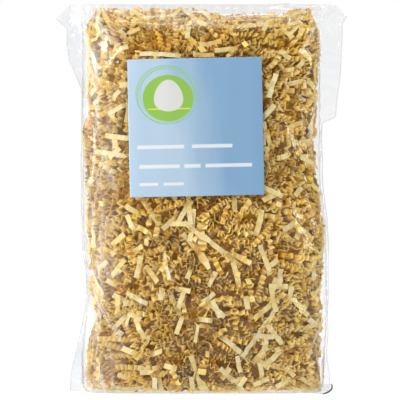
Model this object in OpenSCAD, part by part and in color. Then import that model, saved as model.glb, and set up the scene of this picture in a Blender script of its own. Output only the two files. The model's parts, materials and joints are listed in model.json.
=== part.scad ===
// Pillow bag of crinkle-cut paper shred, standing on its base.
// Two panels of clear film are welded down both sides and sealed across the top. The sealed
// header is folded down behind the bag and lifts about its fold. A square label is on the front.
// The front faces -Y and the top is +Z. The origin is under the middle of the whole outline,
// on the surface that the bag stands on.

/* [Body] */
// Width of the filled body across the front
body_w = 156; // [140:1:170]
// Height of the filled body from its base to the fold of the header
body_h = 252; // [240:1:280]
// Depth of the filled body where it is fullest
body_d = 48; // [44:1:56]
// Depth of the flat base that the bag stands on
base_d = 40; // [34:1:42]
// Squareness of the body's level sections, where 2 is an ellipse
squareness = 4; // [3:0.5:5]
// Height of the rounded edge round the base
base_round = 9; // [6:1:14]
// Height over which the body thins to the fold of the header
top_taper = 62; // [50:1:80]

/* [Film] */
// Thickness of the film's solids, several times that of real film
film_t = 0.4; // [0.4:0.1:0.6]
// Width of the weld bead down each side
weld_w = 1; // [0.8:0.1:1.4]
// Width of the sealed header along its fold
header_w = 176; // [160:1:180]
// Height of the sealed header from its fold to its free edge
header_h = 12; // [10:0.5:13]
// Lean of the folded header away from straight down
header_lean = 45; // [42:1:50]
// Corner cut off each end of the header
header_mitre = 6; // [3:0.5:8]

/* [Label] */
// Side of the square paper label
label_side = 89; // [80:1:95]
// Thickness of the label
label_t = 0.25; // [0.2:0.05:0.4]
// How far the label's middle is to the left of the body's middle
label_left = 5.4; // [0:0.1:10]
// Height of the label's middle
label_z = 172; // [150:1:180]
// Tilt of the label, anticlockwise as seen from the front
label_tilt = 1.2; // [0:0.1:3]

/* [Paper] */
// Width of one strip of paper
strand_w = 3.5; // [2.5:0.1:3.8]
// Thickness of a strip's solid
strand_t = 0.35; // [0.3:0.05:0.5]
// Height of a strip's folds
fold_h = 2.8; // [2:0.1:3]
// Distance between one fold and the next
fold_pitch = 2.2; // [1.8:0.1:2.4]
// Gap from the film's outer face to the packed middle of the paper
heart_inset = 7.5; // [7:0.5:9]

/* [Hidden] */
strand_columns = 5;
strand_rows = 8;
strand_names = [for (i = [1:strand_columns * strand_rows]) str("strand_", i < 10 ? "0" : "", i)];

// Outlines of the ears, as steps [out from the body's side, down from the fold] for the upper
// pair and [out, up from the base] for the lower pair
ear_base_clear = 0.6;
upper_left = [[0, 0], [3, 0], [19, 8.5], [9.5, 16], [10.5, 27], [8, 37], [4, 47], [0, 53]];
upper_right = [[0, 0], [7, 0.5], [15, 8], [14, 12], [15.2, 38], [14, 47], [10.5, 56], [9, 70], [0, 77]];
lower_left = [[0, 60], [1.5, 38], [3, 21], [4.5, 8], [3.5, ear_base_clear], [0, ear_base_clear]];
lower_right = [[0, 44], [3, 31], [2, 13], [5, 5], [3, ear_base_clear], [0, ear_base_clear]];

// The body stands off the middle of the outline, because the upper left ear reaches further
side_x = body_w / 2;
reach_left = max([for (p = upper_left) p[0]]);
reach_right = max([for (p = upper_right) p[0]]);
body_x = (reach_left - reach_right) / 2;

// Half-depth of the body at the fold, and height of the closed edge under it
fold_half = 1.5;
fold_edge = 3;

// Least half-depth of an inner skin, near the fold
thin_half = 1;

// How far the body's sides pull in at the base
base_inset = 3;

// Number of sides and levels in the body's lofted skins
sides = 24;
levels = 14;

// Thin clearances between pieces
touch_gap = 0.05;
strand_gap = 1;

// The strips lie in a grid of square cells inside the front film
strand_cell = 24;
strand_legs = 10;
strand_low_z = 34;

// The header's hinge line, just behind and above the fold
hinge_off = 1.3;
hinge_y = fold_half + hinge_off;
hinge_z = body_h + hinge_off;

film_colour = [0.86, 0.88, 0.9, 0.45];
paper_colour = [0.89, 0.8, 0.5];
label_colour = [0.6, 0.74, 0.88];

// ---- the body's shape ----

function base_share(z) = z >= base_round ? 1 : sqrt(1 - pow(1 - z / base_round, 2));
function top_share(z) =
    z <= body_h - top_taper ? 1 : pow(1 - pow((z - body_h + top_taper) / top_taper, 2.5), 0.8);
function half_depth(z) =
    z < base_round
        ? base_d / 2 + (body_d - base_d) / 2 * base_share(z)
        : fold_half + (body_d / 2 - fold_half) * top_share(z);
function half_width(z) = side_x - base_inset * (1 - base_share(z));

function signed_power(v, p) = sign(v) * pow(abs(v), p);
function level(i) = (1 - cos(180 * i / levels)) / 2;

// How far in front of the body's middle plane the skin lies at [x, z]
function skin_y(x, z, inset) =
    (half_depth(z) - inset)
    * pow(1 - pow(min(abs(x) / (half_width(z) - inset), 1), squareness), 1 / squareness);

// A closed skin of the body, moved inwards by inset or outwards where that is negative. An inner
// skin stops below the fold, where the film closes.
module body_skin(inset) {
    low = max(inset, 0);
    high = body_h - (inset > 0 ? inset + fold_edge : 0);
    ring = [for (i = [0:sides - 1]) 360 * i / sides];
    points = [
        for (k = [0:levels]) let (z = body_h * level(k)) for (t = ring) [
            (half_width(z) - inset) * signed_power(cos(t), 2 / squareness),
            max(half_depth(z) - inset, thin_half) * signed_power(sin(t), 2 / squareness),
            low + (high - low) * level(k)
        ]
    ];
    walls = [
        for (k = [0:levels - 1]) for (i = [0:sides - 1]) let (j = (i + 1) % sides)
            each [
                [k * sides + i, (k + 1) * sides + i, (k + 1) * sides + j],
                [k * sides + i, (k + 1) * sides + j, k * sides + j]
            ]
    ];
    bottom = [for (i = [0:sides - 1]) i];
    top = [for (i = [sides - 1:-1:0]) levels * sides + i];
    translate([body_x, 0, 0])
        polyhedron(points, concat(walls, [bottom, top]));
}

// Half of all space, in front of or behind the body's middle plane
module half_space(front) {
    span = 2 * body_h;
    translate([-span / 2, front ? -span : 0, -span / 4])
        cube([span, span, span]);
}

// ---- film ----

module film_panel(front) {
    color(film_colour)
    intersection() {
        difference() {
            body_skin(0);
            body_skin(film_t);
        }
        half_space(front);
    }
}

module film_front() {
    film_panel(true);
}

module film_back() {
    film_panel(false);
}

// A flat piece of doubled film in the body's middle plane, from its outline [x, z]
module flat_film(outline, thickness) {
    color(film_colour)
    translate([body_x, thickness / 2, 0])
        rotate([90, 0, 0])
            linear_extrude(height = thickness)
                polygon(outline);
}

function from_fold(side, steps) =
    [for (p = steps) [side * (side_x + touch_gap + p[0]), body_h - p[1]]];
function from_base(side, steps) =
    [for (p = steps) [side * (side_x + touch_gap + p[0]), p[1]]];

module ear_top_left() {
    flat_film(from_fold(-1, upper_left), 2 * film_t);
}

module ear_top_right() {
    flat_film(from_fold(1, upper_right), 2 * film_t);
}

module ear_bottom_left() {
    flat_film(from_base(-1, lower_left), 2 * film_t);
}

module ear_bottom_right() {
    flat_film(from_base(1, lower_right), 2 * film_t);
}

// The bead down one side follows the outer edges of both ears and the body between them
function drop_first(list, count) = [for (i = [count:len(list) - 1]) list[i]];
function drop_last(list, count) = [for (i = [0:len(list) - 1 - count]) list[i]];
function side_path(side, upper, lower) = concat(
    drop_first(from_fold(side, upper), 2),
    drop_last(from_base(side, lower), 1));
function shifted(path, dx) = [for (p = path) [p[0] + dx, p[1]]];
function backwards(path) = [for (i = [len(path) - 1:-1:0]) path[i]];

module weld(side, upper, lower) {
    path = side_path(side, upper, lower);
    flat_film(
        concat(shifted(path, side * touch_gap), backwards(shifted(path, side * (touch_gap + weld_w)))),
        weld_w);
}

module weld_left() {
    weld(-1, upper_left, lower_left);
}

module weld_right() {
    weld(1, upper_right, lower_right);
}

// The sealed header hangs back and down from its fold, with its lower corners cut off
module header() {
    half = header_w / 2;
    color(film_colour)
    translate([body_x, hinge_y, hinge_z])
        rotate([header_lean, 0, 0])
            translate([0, film_t, 0])
                rotate([90, 0, 0])
                    linear_extrude(height = 2 * film_t)
                        polygon([
                            [-half, 0],
                            [half, 0],
                            [half, header_mitre - header_h],
                            [half - header_mitre, -header_h],
                            [header_mitre - half, -header_h],
                            [-half, header_mitre - header_h]
                        ]);
}

// ---- label ----

module label() {
    color(label_colour)
    intersection() {
        difference() {
            body_skin(-touch_gap - label_t);
            body_skin(-touch_gap);
        }
        translate([body_x - label_left, -body_d / 2, label_z])
            rotate([0, -label_tilt, 0])
                cube([label_side, body_d / 2, label_side], center = true);
    }
}

// ---- paper ----

// The packed middle of the paper, as one solid
module paper_heart() {
    color(paper_colour)
        body_skin(heart_inset);
}

// One strip in accordion folds, lying along X with its folds towards Y
module strip(legs) {
    length = legs * fold_pitch;
    crest = (fold_h - strand_t) / 2;
    upper = [for (i = [0:legs]) [i * fold_pitch, (i % 2 == 0 ? crest : -crest) + strand_t / 2]];
    lower = [for (i = [legs:-1:0]) [i * fold_pitch, (i % 2 == 0 ? crest : -crest) - strand_t / 2]];
    translate([-length / 2, 0, -strand_w / 2])
        linear_extrude(height = strand_w)
            polygon(concat(upper, lower));
}

// Strip number i lies just inside the front film, in its own cell of the grid. Those in the
// outer columns stand nearly upright, where the film curves away.
module strand(i) {
    column = i % strand_columns - (strand_columns - 1) / 2;
    row = floor(i / strand_columns);
    outer = abs(column) * 2 == strand_columns - 1;
    turn = outer ? rands(65, 115, 1, i)[0] : rands(0, 180, 1, i)[0];
    x = column * strand_cell;
    z = strand_low_z + row * strand_cell;
    reach = strand_legs * fold_pitch / 2;
    far_x = abs(x) + reach * abs(cos(turn)) + strand_w / 2;
    far_z = z + reach;
    y = skin_y(far_x, far_z, film_t) - strand_gap - fold_h / 2;
    color(paper_colour)
    translate([body_x + x, -y, z])
        rotate([0, turn, 0])
            strip(strand_legs);
}

film_front();
film_back();
weld_left();
weld_right();
header();
ear_top_left();
ear_top_right();
ear_bottom_left();
ear_bottom_right();
label();
paper_heart();
for (i = [0:len(strand_names) - 1])
    strand(i);
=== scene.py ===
# Looks for the clear film bag of crinkle-cut paper shred. Metres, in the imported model's own frame.
import json
import math

import bpy
import numpy as np
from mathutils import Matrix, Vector


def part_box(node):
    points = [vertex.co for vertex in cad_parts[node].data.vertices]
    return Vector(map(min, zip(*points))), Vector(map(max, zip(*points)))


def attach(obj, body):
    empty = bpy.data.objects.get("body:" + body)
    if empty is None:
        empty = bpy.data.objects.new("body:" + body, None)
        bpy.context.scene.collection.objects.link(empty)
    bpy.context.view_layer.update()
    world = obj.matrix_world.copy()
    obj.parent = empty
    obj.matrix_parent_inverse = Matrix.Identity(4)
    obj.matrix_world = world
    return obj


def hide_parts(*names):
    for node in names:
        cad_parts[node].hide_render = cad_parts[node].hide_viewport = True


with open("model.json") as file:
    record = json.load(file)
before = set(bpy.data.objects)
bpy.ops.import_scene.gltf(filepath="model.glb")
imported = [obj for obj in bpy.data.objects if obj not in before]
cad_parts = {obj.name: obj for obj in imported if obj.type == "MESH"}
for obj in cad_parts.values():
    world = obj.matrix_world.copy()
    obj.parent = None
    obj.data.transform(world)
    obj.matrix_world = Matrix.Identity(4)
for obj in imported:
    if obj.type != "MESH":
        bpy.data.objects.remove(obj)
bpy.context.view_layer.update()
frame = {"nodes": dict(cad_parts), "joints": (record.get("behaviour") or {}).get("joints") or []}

MM = 0.001

# ---- the body's shape, as the frame has it ----

film_low, film_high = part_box("film_front")
joint = frame["joints"][0]
FOLD_Y, FOLD_Z = joint["pos_m"][1:]
BODY_X = joint["pos_m"][0]
HALF_W = (film_high.x - film_low.x) / 2
HALF_D = -film_low.y
BASE_HALF_D = 20 * MM
BASE_ROUND = 9 * MM
BASE_PULL = 3 * MM
EDGE_HALF_D = 0.2 * MM
SHOULDER_Z = 190 * MM
LEAN_BACK = 14 * MM
SQUARENESS = 4.0
CORNER = 2 / SQUARENESS


def smooth(t):
    t = np.clip(t, 0, 1)
    return t * t * (3 - 2 * t)


def ramp(value, start, over):
    """0 up to start, then smoothly up to 1 at start + over. Both are in millimetres."""
    return smooth((value - start * MM) / (over * MM))


def swell_at(z, middle, spread):
    """1 at the middle height and less away from it, both in millimetres."""
    return np.exp(-(((z - middle * MM) / (spread * MM)) ** 2))


def base_share(z):
    return np.sqrt(1 - np.clip(1 - z / BASE_ROUND, 0, 1) ** 2)


def half_depth(z):
    """Half the body's depth at height z."""
    top = np.clip((z - SHOULDER_Z) / (FOLD_Z - SHOULDER_Z), 0, 1)
    upper = EDGE_HALF_D + (HALF_D - EDGE_HALF_D) * (1 - top**2.5) ** 0.8
    return np.where(z < BASE_ROUND, BASE_HALF_D + (HALF_D - BASE_HALF_D) * base_share(z), upper)


def half_width(z):
    """Half the body's width at height z."""
    return HALF_W - BASE_PULL * (1 - base_share(z))


def pulled_in(z, right):
    """How far the filling's side stays inside the body's: a waist low on the left, and on the right the
    whole upper part, with a belly that stands out below."""
    waist = 3.4 * MM * swell_at(z, 68, 24)
    upper = 2.0 * MM * ramp(z, 118, 30)
    belly = 2.2 * MM * ramp(z, 22, 20) * (1 - ramp(z, 105, 22))
    return np.where(right, upper - belly, waist)


def middle_y(z):
    """Where the body's middle plane is at height z: it leans back to the header's fold at the very top."""
    return FOLD_Y * smooth((z - FOLD_Z + LEAN_BACK) / LEAN_BACK)


def signed_power(v, p):
    return np.sign(v) * np.abs(v) ** p


def on_section(t, a, b, mid_y, z):
    """Places at angle t of a level section, a wide and b deep each way from its middle."""
    x = BODY_X + a * signed_power(np.cos(t), CORNER)
    return np.stack([x, mid_y + b * signed_power(np.sin(t), CORNER), z], axis=-1)


# The line up the middle of one panel: from the fold at the foot, out along the base and up to the header
BASE_STEPS = 8
rise = np.linspace(0, FOLD_Z, 900)
LINE_Z = np.concatenate([np.zeros(BASE_STEPS), rise])
LINE_Y = np.concatenate([np.linspace(0, BASE_HALF_D, BASE_STEPS + 1)[:-1], half_depth(rise)])
LINE_RUN = np.concatenate([[0], np.cumsum(np.hypot(np.diff(LINE_Z), np.diff(LINE_Y)))])
line_slope = np.gradient(np.stack([LINE_Y, LINE_Z]), axis=1)
line_slope /= np.maximum(np.linalg.norm(line_slope, axis=0), 1e-12)
PANEL_H = LINE_RUN[-1]
PANEL_HALF_W = 96 * MM


def on_line(v):
    """(y, z, outward y, outward z) of the panel's middle line, a distance v from the fold at the foot."""
    y, z = np.interp(v, LINE_RUN, LINE_Y), np.interp(v, LINE_RUN, LINE_Z)
    along_y, along_z = np.interp(v, LINE_RUN, line_slope[0]), np.interp(v, LINE_RUN, line_slope[1])
    return y, z, along_z, -along_y


def line_run(z):
    """How far up the panel's middle line height z is."""
    return np.interp(z, rise, LINE_RUN[BASE_STEPS:])


# ---- materials ----


class Shader:
    """A node tree being built, for a material or for the world."""

    def __init__(self, tree):
        self.nodes, self.link = tree.nodes, tree.links.new

    def add(self, kind, **values):
        """A new node with these values in its inputs. An underscore stands for a space."""
        node = self.nodes.new("ShaderNode" + kind)
        for name, value in values.items():
            node.inputs[name.replace("_", " ")].default_value = value
        return node

    def attribute(self, name):
        node = self.add("Attribute")
        node.attribute_name = name
        return node

    def mix(self, factor, low, high):
        """Colour low where the factor is 0 and high where it is 1. low may be a socket."""
        node = self.nodes.new("ShaderNodeMix")
        node.data_type = "RGBA"
        self.link(factor, node.inputs["Factor"])
        if isinstance(low, tuple):
            node.inputs["A"].default_value = (*low, 1)
        else:
            self.link(low, node.inputs["A"])
        node.inputs["B"].default_value = (*high, 1)
        return node.outputs["Result"]

    def maths(self, operation, *values, clamp=False):
        """A Math node's output. Each value is a number or a socket."""
        node = self.add("Math")
        node.operation = operation
        node.use_clamp = clamp
        for socket, value in zip(node.inputs, values):
            if isinstance(value, (int, float)):
                socket.default_value = value
            else:
                self.link(value, socket)
        return node.outputs[0]

    def noise(self, place, **values):
        """Noise over the object's own metres, or over another place."""
        node = self.add("TexNoise", **values)
        self.link(place or self.add("TexCoord").outputs["Object"], node.inputs["Vector"])
        return node.outputs["Fac"]

    def bump(self, height, bsdf, strength, distance):
        node = self.add("Bump", Strength=strength, Distance=distance)
        self.link(height, node.inputs["Height"])
        self.link(node.outputs["Normal"], bsdf.inputs["Normal"])

    def surface(self, bsdf):
        self.link(bsdf.outputs[0], self.add("OutputMaterial").inputs["Surface"])


def new_material(name, kind=Shader):
    mat = bpy.data.materials.new(name)
    mat.use_nodes = True
    mat.node_tree.nodes.clear()
    return mat, kind(mat.node_tree)


def paper_material(name, low, high, fold_highlight_and_wear):
    """Matte dyed paper. Each strip has its own tint, fine fibres mottle it between low and high, and each
    fold is made paler by the last argument: a painted highlight where the fold catches the light, partly dye
    worn paler there."""
    mat, shader = new_material(name)
    bsdf = shader.add("BsdfPrincipled", Roughness=0.62, Specular_IOR_Level=0.15)
    fibres = shader.noise(None, Scale=900, Detail=3)
    mottle = shader.add("MapRange", To_Min=low, To_Max=high)
    shader.link(fibres, mottle.inputs["Value"])
    # Painted highlight, partly worn dye: each strip is made paler towards its folds, as where a fold catches
    # the light.
    leg = shader.attribute("leg").outputs["Fac"]
    off_middle = shader.maths("ABSOLUTE", shader.maths("SUBTRACT", leg, 0.5))
    at_fold = shader.maths("POWER", shader.maths("MULTIPLY", off_middle, 2.0), 6.0)
    crest = shader.maths("MULTIPLY_ADD", at_fold, fold_highlight_and_wear, 1.0)
    shade = shader.add("VectorMath")
    shade.operation = "SCALE"
    shader.link(shader.attribute("tint").outputs["Color"], shade.inputs[0])
    shader.link(shader.maths("MULTIPLY", mottle.outputs["Result"], crest), shade.inputs["Scale"])
    shader.link(shade.outputs[0], bsdf.inputs["Base Color"])
    shader.bump(fibres, bsdf, 0.15, 0.1 * MM)
    shader.surface(bsdf)
    return mat


# The light that passes where film lies in many layers, and how much film mirrors at a glance and face on
MANY_LAYERS = (0.82, 0.865, 0.90)
EDGE_GLOSS, FACE_GLOSS = 0.7, 0.035


def film_material(name, haze, ripple, clear_share=0.975):
    """Clear glossy film: see-through face on, a mirror at a glance, with a thin haze and small ripples. The
    haze is thickened by a per-point attribute into painted reflection of the lights at the film's sides, foot
    and shoulder, and into painted glints where the film is creased or drawn tight, partly the real whitening
    of film drawn tight. The film is greyer where it is gathered in several layers, by its "gathered"
    attribute."""
    mat, shader = new_material(name)
    clear = shader.add("BsdfTransparent")
    one_layer = (clear_share, clear_share + 0.001, clear_share + 0.003)
    layers = shader.attribute("gathered").outputs["Fac"]
    shader.link(shader.mix(layers, one_layer, MANY_LAYERS), clear.inputs["Color"])
    haze_and_glare_layer = shader.add("BsdfDiffuse", Color=(0.95, 0.945, 0.94, 1))
    gloss = shader.add("BsdfGlossy", Roughness=0.07)
    shader.bump(shader.noise(None, Scale=190, Detail=4), gloss, ripple, 1.2 * MM)
    # Painted reflection and painted glints thicken the white haze where the attribute is high.
    milk_and_glare = shader.maths("ADD", shader.attribute("haze_and_glare").outputs["Fac"], haze)
    edge = shader.maths("POWER", shader.add("LayerWeight").outputs["Facing"], 4.0)
    mirror = shader.maths("MULTIPLY_ADD", edge, EDGE_GLOSS, FACE_GLOSS)
    skin = clear
    for share, over in ((milk_and_glare, haze_and_glare_layer), (mirror, gloss)):
        mixed = shader.add("MixShader")
        shader.link(share, mixed.inputs["Fac"])
        shader.link(skin.outputs[0], mixed.inputs[1])
        shader.link(over.outputs[0], mixed.inputs[2])
        skin = mixed
    shader.surface(skin)
    return mat


def rolled_material():
    """Film rolled up tight in many layers: glossy, with fine lines of the roll, and painted near-black,
    painted shade for how dark the tight roll looks.
    """
    mat, shader = new_material("rolled_film")
    bsdf = shader.add("BsdfPrincipled", Roughness=0.25)
    # Painted shade: near-black, mottled by the fine lines of the roll.
    shade = shader.add("MapRange", To_Min=0.015, To_Max=0.06)
    shader.link(shader.noise(None, Scale=1400), shade.inputs["Value"])
    shader.link(shade.outputs["Result"], bsdf.inputs["Base Color"])
    shader.surface(bsdf)
    return mat


# ---- meshes ----


def mesh_object(name, corners, faces, tints=None, material=None, soft=False):
    mesh = bpy.data.meshes.new(name)
    mesh.from_pydata(corners.tolist(), [], faces.tolist() if isinstance(faces, np.ndarray) else faces)
    if tints is not None:
        layer = mesh.color_attributes.new("tint", "FLOAT_COLOR", "POINT")
        rgba = np.concatenate([tints, np.ones((len(tints), 1))], axis=1)
        layer.data.foreach_set("color", rgba.ravel())
    if material:
        mesh.materials.append(material)
    if soft:
        mesh.polygons.foreach_set("use_smooth", np.ones(len(mesh.polygons), bool))
    mesh.update()
    piece = bpy.data.objects.new(name, mesh)
    bpy.context.scene.collection.objects.link(piece)
    return piece


def set_attribute(piece, name, values, kind="FLOAT", domain="POINT"):
    layer = piece.data.attributes.new(name, kind, domain)
    layer.data.foreach_set("vector" if kind == "FLOAT_VECTOR" else "value", values)


def grid_faces(rows, columns, closed=False):
    """Quads of a grid of points numbered row by row. closed joins the last column to the first."""
    i = np.arange(rows - 1)[:, None] * columns
    j = np.arange(columns if closed else columns - 1)[None]
    k = (j + 1) % columns
    return np.stack([i + j, i + k, i + columns + k, i + columns + j], axis=-1).reshape(-1, 4)


def closed_faces(rows, columns):
    """Faces of a closed body: rings of points numbered row by row, with a cap at each end."""
    last = columns * (rows - 1)
    caps = [list(range(columns))[::-1], list(range(last, last + columns))]
    return grid_faces(rows, columns, closed=True).tolist() + caps


# ---- the paper ----

# A strip's width, a leg from fold to fold and the paper's thickness
STRIP_W = 3.3 * MM
LEG = 3.9 * MM
PAPER_T = 0.17 * MM
# The depth of strips round the core, what they stay clear of the film by, and the cells they are laid on
SHELL = 10 * MM
SIDE_GAP = 0.7 * MM
FACE_GAP = 0.7 * MM
CELL = 1.2 * MM
PAPER_TOP = PANEL_H - 4 * MM
TOP_DIP = 4.5 * MM
# Where the strips along the top of the pile lie, how deep they reach each way and how many there are
CROWN_Z = 241 * MM
CROWN_HALF_D = 9 * MM
CROWN_STRIPS = 200
# The most strips to try, the depth over the forty named ones, and the long ones pressed on top
MOST_STRIPS = 7000
OVER_NAMED = 3.4 * MM
LONG_STRIPS = 30
LONG_SQUEEZE = 4.5 * MM
# The places looked at for each strip, how unevenly strips fall on the lowest of them, how near to full the
# bed may stay, and the depth of the top layer, which has its own mix
TRIES = 40
UNEVEN = 1.2 * MM
NEARLY_FULL = 1.0 * MM
TOP_LAYER = 4.5 * MM
# The share of a strip's points that clear what it lies on, and how far it may stray at the bag's sides
CLEARING = 0.8
STRAY = (-2.0, 0.9)
rng = np.random.default_rng(11)

# Shapes of each kind, how far a strip may be pressed into the pile, and the share laid on edge
VARIETY = 160
SQUEEZE = 1.1 * MM
ON_EDGE = 0.5
# Painted shade: how much darker a strip's valleys and its lower edge are painted, and how much warmer that
# painted shade makes them
PAINTED_VALLEY_SHADE = 0.24
PAINTED_EDGE_SHADE = 0.46
PAINTED_SHADE_WARMTH = np.array([1.0, 1.22, 1.8])

KINDS = {
    # fewest and most legs, lean of a leg off the strip's line in degrees, its spread, skew of a fold,
    # chance of a kink, curl
    "spring": (14, 34, 73, 3, 3.5, 0.0, 10.0),
    "loose": (7, 17, 58, 10, 5.5, 0.06, 9.5),
    "flat": (2, 5, 10, 6, 2.5, 0.10, 5.0),
    "long": (6, 12, 8, 4, 2.2, 0.03, 2.5),
}
# The straw tint of each kind of strip. Springs and loose strips are deeper and warmer than flat and long
# ones: painted shade for the light that bounces between their folds.
TINTS = {
    "spring": (0.917, 0.707, 0.220),
    "loose": (0.907, 0.707, 0.239),
    "flat": (0.772, 0.645, 0.313),
    "long": (0.762, 0.645, 0.342),
}
LOW_MIX = {"spring": 0.68, "loose": 0.27, "flat": 0.05, "long": 0.0}
TOP_MIX = {"spring": 0.74, "loose": 0.17, "flat": 0.04, "long": 0.05}
# Painted shade: what a strip's colour is multiplied by at the bottom of the pile
DEEP_SHADE = np.array([0.93, 0.66, 0.22])


def turned(vectors, axis, angle):
    """Rows of vectors turned about a unit axis by an angle in radians."""
    c, s = math.cos(angle), math.sin(angle)
    return vectors * c + np.cross(axis, vectors) * s + np.outer(vectors @ axis, axis) * (1 - c)


def folded_strip(kind, legs=None):
    """(left, right) points of a strip's fold lines, from one end to the other, about its own middle."""
    least, most, lean, spread, skew, kinks, bow = KINDS[kind]
    legs = legs or int(rng.integers(least, most + 1))
    leg = LEG * rng.uniform(0.85, 1.12)
    across, along, up = np.array([0.0, 1, 0]), np.array([1.0, 0, 0]), np.array([0.0, 0, 1])
    side = 1 if rng.random() < 0.5 else -1
    first = math.radians(rng.normal(lean, spread))
    along, up = turned(np.array([along, up]), across, side * first)
    at, fold = np.zeros(3), across
    lefts, rights = [at + fold * STRIP_W / 2], [at - fold * STRIP_W / 2]
    drift = math.radians(rng.normal(0, skew * 0.5))
    curl, ease = rng.normal(0, bow), rng.uniform(0, 2 * math.pi)
    for fold_number in range(legs):
        at = at + along * leg * rng.uniform(0.9, 1.1)
        slant = math.radians(rng.normal(0, skew)) + drift
        fold = turned(across[None], up, slant)[0]
        fold /= np.linalg.norm(fold)
        half = fold * STRIP_W / 2 / max(math.cos(slant), 0.5)
        lefts.append(at + half)
        rights.append(at - half)
        side = -side
        opened = lean - 0.12 * lean * (1 + math.sin(ease + 0.45 * fold_number))
        bend = math.radians(2 * np.clip(rng.normal(opened, spread), 0, 82) + side * curl)
        if rng.random() < kinks:
            bend = math.radians(rng.uniform(50, 140))
        frame_now = turned(np.array([along, up, across]), fold, side * bend)
        along, up, across = frame_now / np.linalg.norm(frame_now, axis=1)[:, None]
    left, right = np.array(lefts), np.array(rights)
    middle = (left + right).mean(0) / 2
    return left - middle, right - middle


def library():
    """Folded strips of each kind to draw from."""
    return {kind: [folded_strip(kind) for _ in range(VARIETY)] for kind in KINDS}


def laid_down(left, right, kind, heading=None):
    """The strip turned to lie along a heading, flat or on its edge. Its third axis is up out of the pile."""
    both = np.concatenate([left, right])
    axes = np.linalg.svd(both - both.mean(0), full_matrices=False)[2]
    width = (left - right).mean(0)
    width -= axes[0] * (width @ axes[0])
    width /= np.linalg.norm(width)
    pose = np.array([axes[0], width, np.cross(axes[0], width)])
    if kind in ("flat", "long"):
        roll = rng.normal(0, 9)
    else:
        roll = rng.normal(90, 18) if rng.random() < ON_EDGE else rng.normal(0, 24)
    left, right = left @ pose.T, right @ pose.T
    if heading is None:
        heading = rng.uniform(0, 2 * math.pi)
    turns = [
        (np.array([1.0, 0, 0]), math.radians(roll)),
        (np.array([0.0, 1, 0]), math.radians(rng.normal(0, 7))),
        (np.array([0.0, 0, 1]), heading),
    ]
    for axis, angle in turns:
        left, right = turned(left, axis, angle), turned(right, axis, angle)
    return left, right


def spread_points(left, right):
    """Points all over a strip's legs, close enough to fill the cells under it."""
    shares = np.array([0.0, 0.34, 0.67])
    edges = (left, right, (left + right) / 2)
    rows = [(1 - k) * edge[:-1] + k * edge[1:] for k in shares for edge in edges]
    return np.concatenate(rows + [left[-1:], right[-1:]])


class Bed:
    """The paper unrolled: round the bag, up from the fold at the foot, and height towards the film."""

    def __init__(self, size):
        self.cells = np.maximum((np.array(size) / CELL).astype(int), 1)
        self.length = size[1]
        self.heights = np.zeros(self.cells)
        self.placed = []
        self.stock = library()

    def lay(self, left, right, kind, centre, name=None, squeeze=SQUEEZE):
        """Lowers a strip onto what already lies there. One that needs more room than squeeze allows is
        left out, unless it has a name."""
        points = spread_points(left, right)
        centre[1] = np.clip(centre[1], -points[:, 1].min(), self.length - points[:, 1].max())
        u = np.floor((points[:, 0] + centre[0]) / CELL).astype(int) % self.cells[0]
        v = np.clip(np.floor((points[:, 1] + centre[1]) / CELL).astype(int), 0, self.cells[1] - 1)
        rest = np.quantile(self.heights[u, v] - points[:, 2], CLEARING)
        room = SHELL - points[:, 2].max()
        if rest > room + squeeze and not name:
            return
        centre[2] = min(rest, room)
        np.maximum.at(self.heights, (u, v), points[:, 2] + centre[2])
        stray = rng.uniform(*STRAY) * MM
        self.placed.append((left + centre, right + centre, kind, name, stray))

    def fill(self, depth, most):
        """Drops strips one by one onto the lowest places, until the bed is depth high."""
        for _ in range(most):
            picks = rng.integers(0, self.cells, size=(TRIES, 2))
            found = self.heights[picks[:, 0], picks[:, 1]]
            pick = picks[np.argmin(found + rng.uniform(0, UNEVEN, TRIES))]
            if found.min() > depth - NEARLY_FULL:
                break
            mix = TOP_MIX if found.min() > SHELL - TOP_LAYER else LOW_MIX
            kind = rng.choice(list(mix), p=list(mix.values()))
            left, right = laid_down(*self.stock[kind][rng.integers(VARIETY)], kind)
            place = np.array([(pick[0] + rng.random()) * CELL, (pick[1] + rng.random()) * CELL, 0])
            self.lay(left, right, kind, place)

    def press_on(self, kind, count, squeeze):
        """Lays strips of one kind anywhere on top, pressed flat under the film."""
        for _ in range(count):
            left, right = laid_down(*self.stock[kind][rng.integers(VARIETY)], kind)
            place = np.append(rng.uniform(0, 1, 2) * self.cells * CELL, 0)
            self.lay(left, right, kind, place, squeeze=squeeze)


def ribbon(left, right):
    """Corners and faces of a closed ribbon of paper between two edges, and how far along its leg each
    corner of a face is."""
    n = len(left)
    legs = np.diff((left + right) / 2, axis=0)
    normals = np.cross(legs, (left - right)[:-1])
    normals /= np.maximum(np.linalg.norm(normals, axis=1), 1e-12)[:, None]
    at_folds = np.concatenate([normals[:1], normals[:-1] + normals[1:], normals[-1:]])
    length = np.maximum(np.linalg.norm(at_folds, axis=1), 0.5)[:, None]
    off = at_folds / length * PAPER_T / 2
    corners = np.stack([left + off, right + off, right - off, left - off], axis=1).reshape(-1, 3)
    first = np.arange(n - 1)[:, None] * 4
    quads = [
        first + np.array([[0, 1, 5, 4]]),
        first + np.array([[1, 2, 6, 5]]),
        first + np.array([[2, 3, 7, 6]]),
        first + np.array([[3, 0, 4, 7]]),
        np.array([[3, 2, 1, 0]]),
        np.array([[0, 1, 2, 3]]) + 4 * (n - 1),
    ]
    legs_done = np.tile([0.0, 0.0, 1.0, 1.0], (4 * (n - 1), 1))
    along = np.concatenate([legs_done, np.full((2, 4), 0.5)])
    return corners, np.concatenate(quads), along.ravel()


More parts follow.
